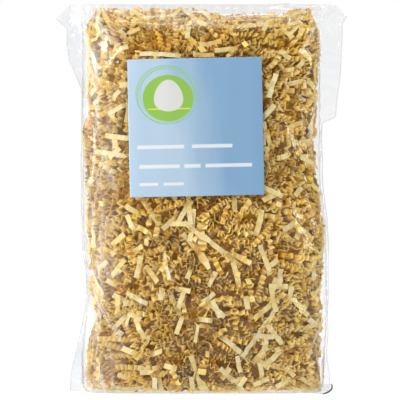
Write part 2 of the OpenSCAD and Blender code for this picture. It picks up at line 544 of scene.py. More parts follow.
def painted_relief_shade(left, right):
    """The painted light on each strip corner (left, right, right, left): painted shade down in the strip's
    own valleys and along its lower edge."""
    height = (left[:, 2] + right[:, 2]) / 2
    beside = np.concatenate([height[1:2], (height[:-2] + height[2:]) / 2, height[-2:-1]])
    folds = 1 + PAINTED_VALLEY_SHADE * (height - beside) / LEG
    edge = PAINTED_EDGE_SHADE * (left[:, 2] - height) / STRIP_W
    sides = np.stack([folds + edge, folds - edge, folds - edge, folds + edge], axis=1)
    return np.clip(sides, 0.45, 1.06).reshape(-1, 1)


def strip_tint(kind):
    """The base colour of one strip: straw, some deeper and some paler at random, and deeper for the springs
    and loose strips by painted shade.
    """
    value = rng.normal(1.0, 0.06)
    warm = rng.normal(0.0, 0.02)
    red, green, blue = TINTS[kind]
    return np.clip([red * value, (green - warm) * value, (blue - 2.2 * warm) * value], 0.02, 0.97)


def strips_object(name, strips, material):
    """One piece of many strips, each a closed ribbon with its own tint, and painted shade that deepens its
    colour further into the pile and in its valleys.
    """
    corners, faces, tints, along, count = [], [], [], [], 0
    for left, right, kind, _, stray in strips:
        placed = (left, right) if stray is None else (wrapped(left, stray), wrapped(right, stray))
        c, f, a = ribbon(*placed)
        corners.append(c)
        faces.append(f + count)
        along.append(a)
        # Painted shade: the strip's colour deepens the further into the pile it lies.
        height = np.stack([left[:, 2], right[:, 2], right[:, 2], left[:, 2]], axis=1).reshape(-1, 1)
        light = np.clip(height / SHELL, 0, 1) ** 1.3
        # Painted shade in the strip's own valleys and along its lower edge, warmer where it is darker.
        inside = painted_relief_shade(left, right) ** PAINTED_SHADE_WARMTH
        tints.append(strip_tint(kind) * (DEEP_SHADE + (1 - DEEP_SHADE) * light) * inside)
        count += len(c)
    piece = mesh_object(name, np.concatenate(corners), np.concatenate(faces), np.concatenate(tints), material)
    set_attribute(piece, "leg", np.concatenate(along), domain="CORNER")
    return piece


# The middle section's outline, measured round from the right side
angles = np.linspace(0, 2 * math.pi, 1441)
outline = np.stack(
    [
        (HALF_W - SIDE_GAP) * signed_power(np.cos(angles), CORNER),
        (HALF_D - FACE_GAP) * signed_power(np.sin(angles), CORNER),
    ],
    axis=1,
)
run = np.concatenate([[0], np.cumsum(np.linalg.norm(np.diff(outline, axis=0), axis=1))])
GIRTH = run[-1]


def top_dip(x):
    """How much lower the top of the pile is, right of its middle."""
    return TOP_DIP * ramp(x, -4, 16) * (1 - ramp(x, 58, 12))


def wrapped(points, stray=0.0):
    """Bed coordinates (round, up, height) to places in the body. The bed's top lies just inside the film.
    stray is how far a strip at the sides stands out of the pile. The pile leaves a gap low on the left."""
    t = np.interp(points[:, 0] % GIRTH, run, angles)
    x = HALF_W * signed_power(np.cos(t), CORNER)
    v = np.clip(points[:, 1], 0, PAPER_TOP)
    v = v - (top_dip(x) + stray) * ramp(v - PAPER_TOP, -60, 60)
    y, z, out_y, out_z = on_line(v)
    depth = np.maximum(SHELL - points[:, 2], 0) * np.clip(half_depth(z) / (18 * MM), 0, 1)
    wave = 1.0 * MM * np.sin(z / (17 * MM) + 1.5 * np.sign(x))
    wave = wave + 0.6 * MM * np.sin(z / (7.3 * MM) + 2 * np.cos(t))
    round_off = np.where(x > 0, 3 * MM, 7 * MM) * ramp(z - FOLD_Z, -20, 17) ** 1.5
    a = half_width(z) - pulled_in(z, x > 0) - round_off - SIDE_GAP + (wave + stray) * np.abs(np.cos(t)) ** 0.5
    a = a - depth * np.clip(out_y * 3, 0, 1) - np.where(x < 0, 5 * MM, 0) * swell_at(z, 45, 17)
    b = np.maximum(y - (FACE_GAP + depth) * out_y, 0.3 * MM)
    z = z - (FACE_GAP + depth) * out_z
    return on_section(t, a, b, middle_y(z), z)


def lay_named_strips(bed):
    """The forty named strips, each where its CAD node is and turned the same way."""
    names = sorted(n for n in frame["nodes"] if n.startswith("strand_"))
    for name in names:
        mesh = frame["nodes"][name].data
        points = np.array([v.co for v in mesh.vertices])
        centre = (points.min(0) + points.max(0)) / 2
        axis = np.linalg.svd(points - points.mean(0), full_matrices=False)[2][0]
        c = np.clip((centre[0] - BODY_X) / (HALF_W - SIDE_GAP), -0.999, 0.999)
        t = 2 * math.pi - math.acos(float(signed_power(c, SQUARENESS / 2)))
        left, right = folded_strip("spring", legs=int(rng.integers(12, 18)))
        left, right = laid_down(left, right, "spring", math.atan2(axis[2], axis[0]))
        bed.lay(left, right, "spring", np.array([np.interp(t, angles, run), line_run(centre[2]), 0.0]), name)


def crown(stock, count):
    """Strips that lie level along the top of the pile, between its front and back."""
    strips = []
    for _ in range(count):
        kind = rng.choice(list(TOP_MIX), p=list(TOP_MIX.values()))
        left, right = laid_down(*stock[kind][rng.integers(VARIETY)], kind, rng.normal(0, 0.6))
        x = rng.uniform(-0.88, 0.86) * HALF_W
        z = CROWN_Z - 0.7 * top_dip(x) - 6 * MM * ramp(abs(x), 50, 22)
        z = z + rng.uniform(-3, 0.5) * MM
        place = np.array([BODY_X + x, rng.normal(0, 3.5) * MM, z])
        for edge in (left, right):
            edge += place
            edge[:, 0] = np.clip(edge[:, 0], BODY_X - 0.94 * HALF_W, BODY_X + 0.93 * HALF_W)
            edge[:, 1] = CROWN_HALF_D * np.tanh(edge[:, 1] / CROWN_HALF_D)
            edge[:, 2] = np.minimum(edge[:, 2], z + 2 * MM)
        strips.append((left, right, kind, None, None))
    return strips


def make_core(material):
    """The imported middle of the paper: a lumpy closed body that fills what the strips leave."""
    rows, columns = 60, 96
    v = np.linspace(0.2 * MM, PAPER_TOP - 15 * MM, rows)
    u = np.arange(columns) / columns * GIRTH
    uu, vv = np.meshgrid(u, v)
    lumps = 1.1 * MM * np.sin(uu / (6.1 * MM) + 1.7 * np.sin(vv / (9 * MM)))
    lumps += 0.9 * MM * np.sin(vv / (4.7 * MM) + 2.1 * np.sin(uu / (11 * MM)))
    points = np.stack([uu, vv, 0.8 * MM + lumps], axis=-1).reshape(-1, 3)
    corners = wrapped(points)
    # Painted shade: the core takes the springs' tint at its deepest painted shade.
    dark = np.tile(np.array(TINTS["spring"]) * DEEP_SHADE, (len(corners), 1))
    return mesh_object("shred_core", corners, closed_faces(rows, columns), dark, material)


paper = paper_material("shred_paper", 0.86, 1.04, 0.10)
bed = Bed((GIRTH, PAPER_TOP))
bed.fill(SHELL - OVER_NAMED, MOST_STRIPS)
lay_named_strips(bed)
bed.fill(SHELL, MOST_STRIPS)
bed.press_on("long", LONG_STRIPS, LONG_SQUEEZE)
QUARTERS = 4
groups = {}
for strip in bed.placed:
    if strip[3]:
        piece = strips_object("paper_" + strip[3], [strip], paper)
        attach(piece, "pack")
        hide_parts(strip[3])
    else:
        place = int(((strip[0][:, 0].mean() % GIRTH) / GIRTH) * QUARTERS)
        groups.setdefault(place, []).append(strip)
groups[QUARTERS] = crown(bed.stock, CROWN_STRIPS)
for place, members in sorted(groups.items()):
    piece = strips_object(f"shred_{place + 1}", members, paper)
    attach(piece, "pack")
core = make_core(paper_material("packed_paper", 0.6, 1.0, 0.0))
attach(core, "pack")
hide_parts("paper_heart")

# ---- the film ----

COLUMNS, ROWS = 97, 141
SIM_SCALE = 10.0
SIM_FRAMES = 24
# The gap between the panels when flat, and the small bumps that start their creases
FLAT_GAP = 0.3 * MM
SEED_BUMP = 0.5 * MM
# The header's ends, cut back by this much at its free edge, and the pitch of its crimped ribs
MITRE = 6 * MM
RIB_PITCH = 1.6 * MM
# How far each side weld stands out from the body's side, in millimetres: (height, reach)
REACH_LEFT = (
    (0, 10.4), (5, 8.3), (17, 7.0), (25, 5.2), (36, 2.9), (49, 1.7), (60, 1.1),
    (198, 1.1), (206, 4), (216, 9), (226, 10.5), (237, 10.5), (244, 18.2),
)
REACH_RIGHT = (
    (0, 5.0), (12, 4.0), (40, 1.4),
    (176, 1.6), (179, 10.5), (194, 12), (215, 14), (240, 15), (245, 18.2),
)
# The header's fold: straight to here, then down to the corners
STRAIGHT_LEFT, STRAIGHT_RIGHT = 85 * MM, 87 * MM
DROOP_LEFT, DROOP_RIGHT = 9.6 * MM, 8.4 * MM


def reach(z, right):
    """How far the weld stands out from the body's side at height z."""
    found = []
    for table in (REACH_LEFT, REACH_RIGHT):
        heights, out = np.array(table).T * MM
        found.append(np.interp(z, heights, out))
    ragged = 0.35 * MM * (1 + np.sin(z / (6.3 * MM)) * np.sin(z / (15 * MM) + 1))
    return np.where(right, found[1], found[0]) + ragged


def panel_start(side):
    """A panel's points before it settles, wrapped round the body. side is -1 in front and 1 behind."""
    s = np.linspace(-PANEL_HALF_W, PANEL_HALF_W, COLUMNS)[None].repeat(ROWS, axis=0)
    h = np.linspace(0, PANEL_H, ROWS)[:, None].repeat(COLUMNS, axis=1)
    far = np.abs(s)
    right = s > 0
    y_mid, z_mid, _, _ = on_line(h)
    droop = np.where(right, DROOP_RIGHT, DROOP_LEFT)
    straight = np.where(right, STRAIGHT_RIGHT, STRAIGHT_LEFT)
    z_edge = h / PANEL_H * (FOLD_Z - droop)
    inner = ramp(h, 0, 50) * ramp(PANEL_H - h, 0, 50)
    start = 70 * MM * (1 - inner) + 45 * MM * inner
    start = np.where(h > PANEL_H / 2, start + (straight - 70 * MM) * (1 - inner), start)
    share = np.clip((far - start) / (PANEL_HALF_W - start), 0, 1) ** 1.5
    z = z_mid + (z_edge - z_mid) * share
    b = np.where(z < BASE_ROUND, y_mid + (half_depth(z) - y_mid) * share, half_depth(z))
    a = half_width(z) - pulled_in(z, right)
    turns = np.linspace(math.pi / 2, 0, 240)
    xs = a[..., None] * np.cos(turns) ** CORNER
    ys = b[..., None] * np.sin(turns) ** CORNER
    lengths = np.cumsum(np.hypot(np.diff(xs, axis=-1), np.diff(ys, axis=-1)), axis=-1)
    lengths = np.concatenate([np.zeros_like(lengths[..., :1]), lengths], axis=-1)
    total = lengths[..., -1]
    upper = np.clip((lengths < far[..., None]).sum(-1), 1, len(turns) - 1)[..., None]

    def either_side(values):
        return [np.take_along_axis(values, k, -1)[..., 0] for k in (upper - 1, upper)]

    low, high = either_side(lengths)
    part = np.clip((far - low) / np.maximum(high - low, 1e-9), 0, 1)
    x, y = ((1 - part) * before + part * after for before, after in map(either_side, (xs, ys)))
    beyond = np.clip((far - total) / np.maximum(PANEL_HALF_W - total, 1e-9), 0, 1)
    x = x + beyond * reach(z, right)
    y = np.where(beyond > 0, 0.3 * MM * (1 - beyond), y)
    return np.stack([BODY_X + np.sign(s) * x, middle_y(z) + side * y, z], axis=-1)


def bag_mesh(front, back):
    """One closed mesh of both panels, joined along the foot, the welds and the header's fold."""
    rows, columns = front.shape[:2]
    index = np.arange(rows * columns).reshape(rows, columns)
    behind = index.copy()
    inner = np.arange((rows - 2) * (columns - 2)).reshape(rows - 2, columns - 2) + rows * columns
    behind[1:-1, 1:-1] = inner
    corners = np.concatenate([front.reshape(-1, 3), back[1:-1, 1:-1].reshape(-1, 3)])
    quads = grid_faces(rows, columns)
    faces = np.concatenate([quads, behind.reshape(-1)[quads][:, ::-1]])
    return corners, faces, index, behind


def filled_shape(inset):
    """The closed body that the film wraps: the paper's own outer shape."""
    rows, columns = 110, 120
    v = np.linspace(0.5 * MM, PANEL_H - 4 * MM, rows)[:, None].repeat(columns, axis=1)
    t = (np.arange(columns) / columns * 2 * math.pi)[None].repeat(rows, axis=0)
    y, z, out_y, out_z = on_line(v)
    a = half_width(z) - pulled_in(z, np.cos(t) > 0) - inset - 0.8 * MM
    b = np.maximum(y - inset * out_y, 0.15 * MM)
    corners = on_section(t, a, b, middle_y(z), z - inset * out_z)
    return corners.reshape(-1, 3), closed_faces(rows, columns)


def settle(corners, flat, faces, pinned, frames):
    """Cloth simulation of the film from its wrapped pose, with its flat cut as its rest shape."""
    scene = bpy.context.scene
    bag = mesh_object("bag_film", corners * SIM_SCALE, faces)
    bag.shape_key_add(name="wrapped")
    key = bag.shape_key_add(name="flat")
    key.data.foreach_set("co", (flat * SIM_SCALE).ravel())
    key.value = 0
    group = bag.vertex_groups.new(name="pinned")
    group.add(np.flatnonzero(pinned).tolist(), 1.0, "REPLACE")
    filling, sides = filled_shape(0.4 * MM)
    blocked = mesh_object("bag_filling", filling * SIM_SCALE, sides)
    collider = blocked.modifiers.new("collision", "COLLISION")
    collider.settings.thickness_outer = 0.002
    collider.settings.cloth_friction = 2
    cloth = bag.modifiers.new("cloth", "CLOTH")
    stiffness = {"tension": 60, "compression": 60, "shear": 30, "bending": 0.3}
    for name, value in stiffness.items():
        setattr(cloth.settings, name + "_stiffness", value)
    cloth.settings.quality = 7
    cloth.settings.mass = 0.05
    cloth.settings.air_damping = 1
    cloth.settings.rest_shape_key = key
    cloth.settings.vertex_group_mass = "pinned"
    cloth.settings.effector_weights.gravity = 0
    cloth.collision_settings.distance_min = 0.002
    cloth.collision_settings.use_self_collision = False
    cloth.point_cache.frame_start = 1
    cloth.point_cache.frame_end = frames
    scene.frame_start, scene.frame_end = 1, frames
    for f in range(1, frames + 1):
        scene.frame_set(f)
    settled = bag.evaluated_get(bpy.context.evaluated_depsgraph_get()).to_mesh()
    places = np.zeros(len(settled.vertices) * 3)
    settled.vertices.foreach_get("co", places)
    for used in (bag, blocked):
        mesh = used.data
        bpy.data.objects.remove(used)
        bpy.data.meshes.remove(mesh)
    scene.frame_set(1)
    return places.reshape(-1, 3) / SIM_SCALE


def waves(places, length, count, seed):
    """A smooth random field of about -1 to 1 over flat places, with this usual length between crests."""
    draw = np.random.default_rng(seed)
    angle = draw.uniform(0, math.pi, count)
    pitch = length * draw.uniform(0.7, 1.4, count)
    turn = 2 * math.pi / pitch
    phase = draw.uniform(0, 2 * math.pi, count)
    field = 0
    for k in range(count):
        field = field + np.sin(
            turn[k] * (places[..., 0] * math.cos(angle[k]) + places[..., 1] * math.sin(angle[k])) + phase[k]
        )
    return field / math.sqrt(count)


# Creases drawn tight, in millimetres: across and up at each end, then half the width
DRAWN = (
    (-82, 244, -66, 204, 0.9),
    (-79, 238, -69, 192, 0.7),
    (-74, 246, -55, 224, 0.7),
    (-70, 176, -73, 132, 0.8),
    (-72, 64, -50, 27, 0.4),
    (-70.3, 64, -47, 23, 0.3),
    (80, 246, 60, 219, 0.7),
    (78, 205, 68, 160, 0.6),
    (82, 52, 68, 18, 0.8),
    (-40, 244, 8, 247, 0.6),
    (12, 243, 62, 246, 0.7),
    (-92, 247, -79, 243, 0.35),
    (-87, 236, -79, 231, 0.3),
    (-77, 246, -78, 205, 0.5),
    (88, 246, 88, 233, 0.35),
    (74, 234, 88, 234, 0.35),
)


# Creases that fan out near the top corners, then near the foot's: (how far up, how many go round, how they
# wander, height, how far out they have risen, where they fade, over what length, in patches)
FAN_OUT = 80 * MM
FANS = (
    (PANEL_H - 8 * MM, 11, 1.4, 0.8 * MM, 12, 20, 65, True),
    (16 * MM, 12, 1.7, 0.7 * MM, 8, 12, 38, False),
)


def ridged(phase, sharpness=3.0):
    """Narrow crests, one each turn of the phase."""
    return (0.5 + 0.5 * np.cos(phase)) ** sharpness


def creases(flat, seed):
    """How far the film's creases stand out of the panel, over its flat places (across, up)."""
    s, h = flat[..., 0], flat[..., 1]
    far = np.abs(s)
    slow = waves(flat, 70 * MM, 6, seed)
    patchy = np.clip(0.5 + 0.6 * waves(flat, 45 * MM, 6, seed + 1), 0, 1)
    side = ramp(far, 62, 26)
    pucker = ridged(h * 2 * math.pi / (8.5 * MM) + far / (7 * MM) + 2.6 * slow, 2.0) * side * patchy
    total = 0.8 * MM * pucker
    for sign in (-1, 1):
        for up, count, wander, tall, risen, fade, over, patches in FANS:
            dx, dh = sign * s - FAN_OUT, h - up
            spread, angle = np.hypot(dx, dh), np.arctan2(dh, dx)
            shown = ramp(spread, 0, risen) * (1 - ramp(spread, fade, over))
            fan = tall * ridged(count * angle + wander * slow) * shown
            total = total + (fan * patchy if patches else fan)
    top = ramp(h - PANEL_H, -26, 18) * (1 - ramp(h - PANEL_H, -3, 3))
    total = total + 0.55 * MM * ridged(h * 2 * math.pi / (6.5 * MM) + 2.8 * slow + s / (19 * MM), 2.5) * top
    slanted = (s * 0.55 + h * 0.3) * 2 * math.pi / (17 * MM)
    total = total + 0.22 * MM * ridged(slanted + 3.5 * slow, 4.0) * patchy
    total = total + 0.10 * MM * (1 + waves(flat, 13 * MM, 8, seed + 2)) + 0.9 * MM * drawn_tight(flat)
    seam = np.minimum(ramp(PANEL_HALF_W - far, 0, 5), ramp(PANEL_H - h, 0, 4))
    return total * (0.25 + 0.75 * seam) * ramp(PANEL_H - h, 0, 1.5)


def drawn_tight(flat):
    """0 to 1, for places on the straight creases where the film is pulled from a corner."""
    s, h = flat[..., 0], flat[..., 1]
    total = np.zeros(s.shape)
    for x0, z0, x1, z1, width in DRAWN:
        a = np.array([x0 * MM, line_run(z0 * MM)])
        b = np.array([x1 * MM, line_run(z1 * MM)])
        along = (b - a) / np.linalg.norm(b - a)
        run_in = (s - a[0]) * along[0] + (h - a[1]) * along[1]
        off = (s - a[0]) * along[1] - (h - a[1]) * along[0]
        off = off + 0.8 * MM * np.sin(run_in / (9 * MM) + x0)
        length = np.linalg.norm(b - a)
        taper = ramp(run_in, 0, 5) * (1 - ramp(run_in - length, -12, 12))
        total = np.maximum(total, np.exp(-((off / (width * MM)) ** 2)) * taper)
    return total


def haze_and_glare(flat, seed):
    """How hazy the film is: a white veil at its sides, foot and shoulder, most on the left, that is painted
    reflection of the lights mirrored there, and along tight creases, where it is painted glints and partly
    the real whitening of film drawn tight.
    """
    s, h = flat[..., 0], flat[..., 1]
    patchy = np.clip(0.55 + 0.5 * waves(flat, 26 * MM, 8, seed), 0.05, 1.3)
    glint_streaks = ridged((s + 0.12 * h) * 2 * math.pi / (7 * MM) + 3 * waves(flat, 60 * MM, 6, seed + 1), 3.0)
    left, right = ramp(-s, 44, 24), ramp(s, 62, 20)
    foot, shoulder = ramp(-h, -36, 16), ramp(h - PANEL_H, -30, 16)
    ears = ramp(np.abs(s), 86, 4)
    # Painted reflection: the white veil at the sides, foot and shoulder stands in for the lights mirrored
    # there.
    milk_and_glare = (0.17 * left + 0.09 * right + 0.05 * foot + 0.08 * shoulder) * (1 - 0.85 * ears)
    return milk_and_glare * (0.2 + 0.4 * patchy + 1.1 * glint_streaks * patchy) + 0.36 * drawn_tight(flat)


def gathered(flat, seed):
    """How much the film is gathered in several layers: at its ears, most at the foot's left one."""
    s, h = flat[..., 0], flat[..., 1]
    folds = 0.75 + 0.35 * waves(flat * np.array([2.5, 1.0]), 30 * MM, 6, seed)
    ears = ramp(np.abs(s), 80, 7) * np.clip(folds, 0.2, 1.4)
    foot = ramp(-h, -75, 25) * np.where(s < 0, 0.55, 0.3)
    top = ramp(h - PANEL_H, -75, 25) * np.where(s < 0, 0.3, 0.1)
    return ears * (foot + top)


def refined(grid):
    """A grid of points with a new one between each two neighbours, on a smooth curve through them."""
    for axis in (0, 1):
        g = np.moveaxis(grid, axis, 0)
        before = np.concatenate([2 * g[:1] - g[1:2], g[:-2]])
        after = np.concatenate([g[2:], 2 * g[-1:] - g[-2:-1]])
        between = (9 * (g[:-1] + g[1:]) - before[: len(g) - 1] - after) / 16
        mixed = np.empty((2 * len(g) - 1,) + g.shape[1:])
        mixed[0::2], mixed[1::2] = g, between
        grid = np.moveaxis(mixed, 0, axis)
    return grid


def outward(grid, side):
    """Unit normals of a panel's grid of points. side is -1 in front and 1 behind."""
    along = np.gradient(grid, axis=1)
    up = np.gradient(grid, axis=0)
    normal = np.cross(along, up) * -side
    return normal / np.maximum(np.linalg.norm(normal, axis=-1), 1e-12)[..., None]


s = np.linspace(-PANEL_HALF_W, PANEL_HALF_W, COLUMNS)
h = np.linspace(0, PANEL_H, ROWS)
flat_grid = np.stack(np.meshgrid(s, h), axis=-1)
front, back = panel_start(-1), panel_start(1)
corners, faces, index, behind = bag_mesh(front, back)
flat_front = np.stack([flat_grid[..., 0], np.full((ROWS, COLUMNS), -FLAT_GAP), flat_grid[..., 1]], axis=-1)
flat_back = flat_front * np.array([1, -1, 1])
flat = np.concatenate([flat_front.reshape(-1, 3), flat_back[1:-1, 1:-1].reshape(-1, 3)])
label_low, label_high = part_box("label")
LABEL_X, LABEL_Z = (label_low.x + label_high.x) / 2, (label_low.z + label_high.z) / 2
margin = 2 * MM
under_label = (
    (front[..., 0] > label_low.x - margin) & (front[..., 0] < label_high.x + margin)
    & (front[..., 2] > label_low.z - margin) & (front[..., 2] < label_high.z + margin)
)
pinned = np.zeros(len(corners), bool)
pinned[index[-1]] = True
pinned[index[0, np.abs(s) < 66 * MM]] = True
pinned[index[under_label]] = True
seeds = np.zeros(corners.shape)
seeds[behind] = (outward(back, 1) * np.abs(waves(flat_grid, 30 * MM, 8, 5))[..., None]) * SEED_BUMP
seeds[index] = (outward(front, -1) * np.abs(waves(flat_grid, 30 * MM, 8, 6))[..., None]) * SEED_BUMP
seeds[pinned] = 0
corners = settle(corners + seeds, flat, faces, pinned, SIM_FRAMES)
start_edges = front[:, [0, -1], 0]
front, back = corners[index], corners[behind]
pull = start_edges - front[:, [0, -1], 0]
for panel in (front, back):
    panel[..., 0] += ramp(-s, 66, 30) * pull[:, :1]
    panel[..., 0] += ramp(s, 66, 30) * pull[:, 1:]

fine_flat = refined(flat_grid)
shown_front, shown_back = refined(front), refined(back)
near_label = np.maximum(
    np.abs(shown_front[..., 0] - LABEL_X) - (label_high.x - label_low.x) / 2,
    np.abs(shown_front[..., 2] - LABEL_Z) - (label_high.z - label_low.z) / 2,
)
clear_of_label = ramp(near_label, 1, 12)
shown_front += outward(shown_front, -1) * (creases(fine_flat, 21) * clear_of_label)[..., None]
shown_back += outward(shown_back, 1) * creases(fine_flat, 31)[..., None]
for column in (0, -1):
    shown_back[:, column] = shown_front[:, column]
shown_back[0] = shown_front[0]
shown_front[..., 2] = np.maximum(shown_front[..., 2], 0.05 * MM)
shown_back[..., 2] = np.maximum(shown_back[..., 2], 0.05 * MM)

film = film_material("clear_film", 0.002, 0.25)
FRONT_NODES = ("film_front", "ear_top_left", "ear_top_right", "ear_bottom_left", "ear_bottom_right")
for name, grid, order, seed, nodes in (
    ("film_front_sheet", shown_front, 1, 41, FRONT_NODES),
    ("film_back_sheet", shown_back, -1, 51, ("film_back",)),
):
    quads = grid_faces(*grid.shape[:2])[:, ::order]
    piece = mesh_object(name, grid.reshape(-1, 3), quads, material=film, soft=True)
    # Painted reflection and glints, carried as white haze.
    set_attribute(piece, "haze_and_glare", haze_and_glare(fine_flat, seed).ravel())
    set_attribute(piece, "gathered", gathered(fine_flat, 61).ravel())
    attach(piece, "pack")
    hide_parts(*nodes)


def tube(name, line, radius, material, sides=8):
    """A closed bead along a line of points."""
    along = np.gradient(line, axis=0)
    along /= np.linalg.norm(along, axis=1)[:, None]
    first = np.cross(along, [0, 1, 0])
    first /= np.linalg.norm(first, axis=1)[:, None]
    second = np.cross(along, first)
    turns = np.arange(sides) / sides * 2 * math.pi
    rings = line[:, None] + radius * (
        np.cos(turns)[None, :, None] * first[:, None] + np.sin(turns)[None, :, None] * second[:, None]
    )
    faces = closed_faces(len(line), sides)
    return mesh_object(name, rings.reshape(-1, 3), faces, material=material, soft=True)


sealed = film_material("sealed_film", 0.008, 0.1, 0.985)
welded = film_material("welded_film", 0.04, 0.1, 0.92)
for name, column in (("weld_left", 0), ("weld_right", -1)):
    line = shown_front[:, column].copy()
    line[:, 2] = np.maximum(line[:, 2], 0.5 * MM)
    bead = tube(name + "_bead", line, 0.32 * MM, welded)
    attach(bead, "pack")
    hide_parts(name)


def slab(name, grid, thickness, material, soft=False):
    """A closed thin sheet on both sides of a grid of points."""
    rows, columns = grid.shape[:2]
    normal = outward(grid, -1) * thickness / 2
    corners = np.concatenate([(grid + normal).reshape(-1, 3), (grid - normal).reshape(-1, 3)])
    quads = grid_faces(rows, columns)
    count = rows * columns
    number = np.arange(count).reshape(rows, columns)
    rim = np.concatenate([number[0, :-1], number[:-1, -1], number[-1, :0:-1], number[:0:-1, 0]])
    ahead = np.roll(rim, -1)
    wall = np.stack([rim, rim + count, ahead + count, ahead], axis=1)
    faces = np.concatenate([quads, quads[:, ::-1] + count, wall])
    return mesh_object(name, corners, faces, material=material, soft=soft)


def make_header():
    """The sealed band: two films crimped together, from the fold down behind the bag."""
    low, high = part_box("header")
    columns, rows = 178, 37
    lean = math.atan2(high.y - FOLD_Y, FOLD_Z - low.z)
    length = math.hypot(high.y - FOLD_Y, FOLD_Z - low.z)
    k = np.linspace(-1, 1, columns)[None]
    d = np.linspace(0, 1, rows)[:, None] * length
    half = (high.x - low.x) / 2 - MITRE * smooth((d / length - 0.35) / 0.65)
    x = (high.x + low.x) / 2 + k * half
    flat = np.stack([x + 0 * d, d + 0 * x], axis=-1)
    ribs = 0.16 * MM * np.sin(d * 2 * math.pi / RIB_PITCH) * ramp(d, 1.5, 1)
    lift = ribs + 0.5 * MM * waves(flat, 40 * MM, 5, 8) * (d / length) ** 1.5
    y = FOLD_Y + d * math.sin(lean) + lift * math.cos(lean)
    z = FOLD_Z - d * math.cos(lean) + lift * math.sin(lean)
    return slab("header_seal", np.stack([x + 0 * d, y, z], axis=-1), 0.25 * MM, sealed)


header = make_header()
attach(header, "header")
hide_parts("header")


# The flap at the foot's right ear, in millimetres: the ends of its edge on the bag, and the three points
# that its rolled edge bends through
FLAP_INNER = np.array([[76.5, -13, 5.5], [64, -20.5, 0.9]])
FLAP_OUTER = np.array([[85.4, -12, 5.6], [86.5, -25, 2.2], [78.6, -33, 0.8]])


def make_curl():
    """The foot's right ear: a flap of film that stands out in front, its edge rolled up tight."""
    u, w = np.meshgrid(np.linspace(0, 1, 25), np.linspace(0, 1, 11))
    inner = (1 - u[..., None]) * FLAP_INNER[0] + u[..., None] * FLAP_INNER[1]
    share = np.stack([(1 - u) ** 2, 2 * u * (1 - u), u**2], axis=-1)
    grid = (1 - w[..., None]) * inner + w[..., None] * (share @ FLAP_OUTER)
    bulge = 0.9 * np.sin(math.pi * w) * np.sin(math.pi * u)
    grid[..., 2] += bulge + 0.25 * np.sin(9 * u + 3 * w) * w * (1 - w)
    grid[..., 2] = np.maximum(grid[..., 2], 0.6)
    grid = grid * MM
    flap = slab("ear_flap", grid, 0.05 * MM, sealed)
    radius = (0.16 + 0.5 * np.sin(math.pi * np.linspace(0.06, 0.94, 25)) ** 0.6)[:, None, None] * MM
    roll = tube("ear_curl", grid[-1], radius, rolled)
    return flap, roll


rolled = rolled_material()
flap, roll = make_curl()
for piece in (flap, roll):
    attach(piece, "pack")

# ---- the label ----

LABEL_TILT = math.radians(1.2)
LABEL_SIDE = (label_high.x - label_low.x) / (math.cos(LABEL_TILT) + math.sin(LABEL_TILT))
# The paper's waves narrow it a little, and it was stuck on a little to the right
LABEL_WIDE = 0.974 * LABEL_SIDE
LABEL_SHIFT = 0.8 * MM
# The pale blue is a painted highlight, lightening the label to the left and in soft upright bands; the deep
# blue is the label's own.
LABEL_HIGHLIGHT_PALE = (0.357, 0.468, 0.578)
LABEL_DEEP = (0.180, 0.317, 0.478)
RING_GREEN = (0.22, 0.44, 0.18)
DISC_GREEN = (0.22, 0.41, 0.06)
LINE_YELLOW = (0.62, 0.62, 0.08)
EGG_WHITE = (0.55, 0.555, 0.53)
BAR_WHITE = (0.61, 0.64, 0.67)
# The print, in millimetres from the label's middle: rings round the disc, the egg on it, the line it
# stands on, and plain bars for the lines of words as (x, y, width, height)
RINGS = 4
RING_X, RING_Y, RING_WOBBLE = -18.7, 21.0, 0.9
DISC = (-17.5, 19.0, 16.3, 14.9)
EGG_X, EGG_Y, EGG_HALF_W, EGG_HALF_H, EGG_TAPER = -17.2, 20.6, 9.2, 10.2, 0.022
LINE = (-17.2, 12.0, 27.0, 0.7)
BARS = (
    (-22.8, -12.4, 30.0, 2.3), (10.3, -12.4, 26.0, 2.3),
    (-23.8, -25.0, 26.0, 2.3), (-2.7, -25.0, 10.5, 2.3), (20.7, -25.0, 30.0, 2.3),
    (-31.0, -36.4, 12.0, 1.9), (-15.0, -36.4, 13.0, 1.9),
)


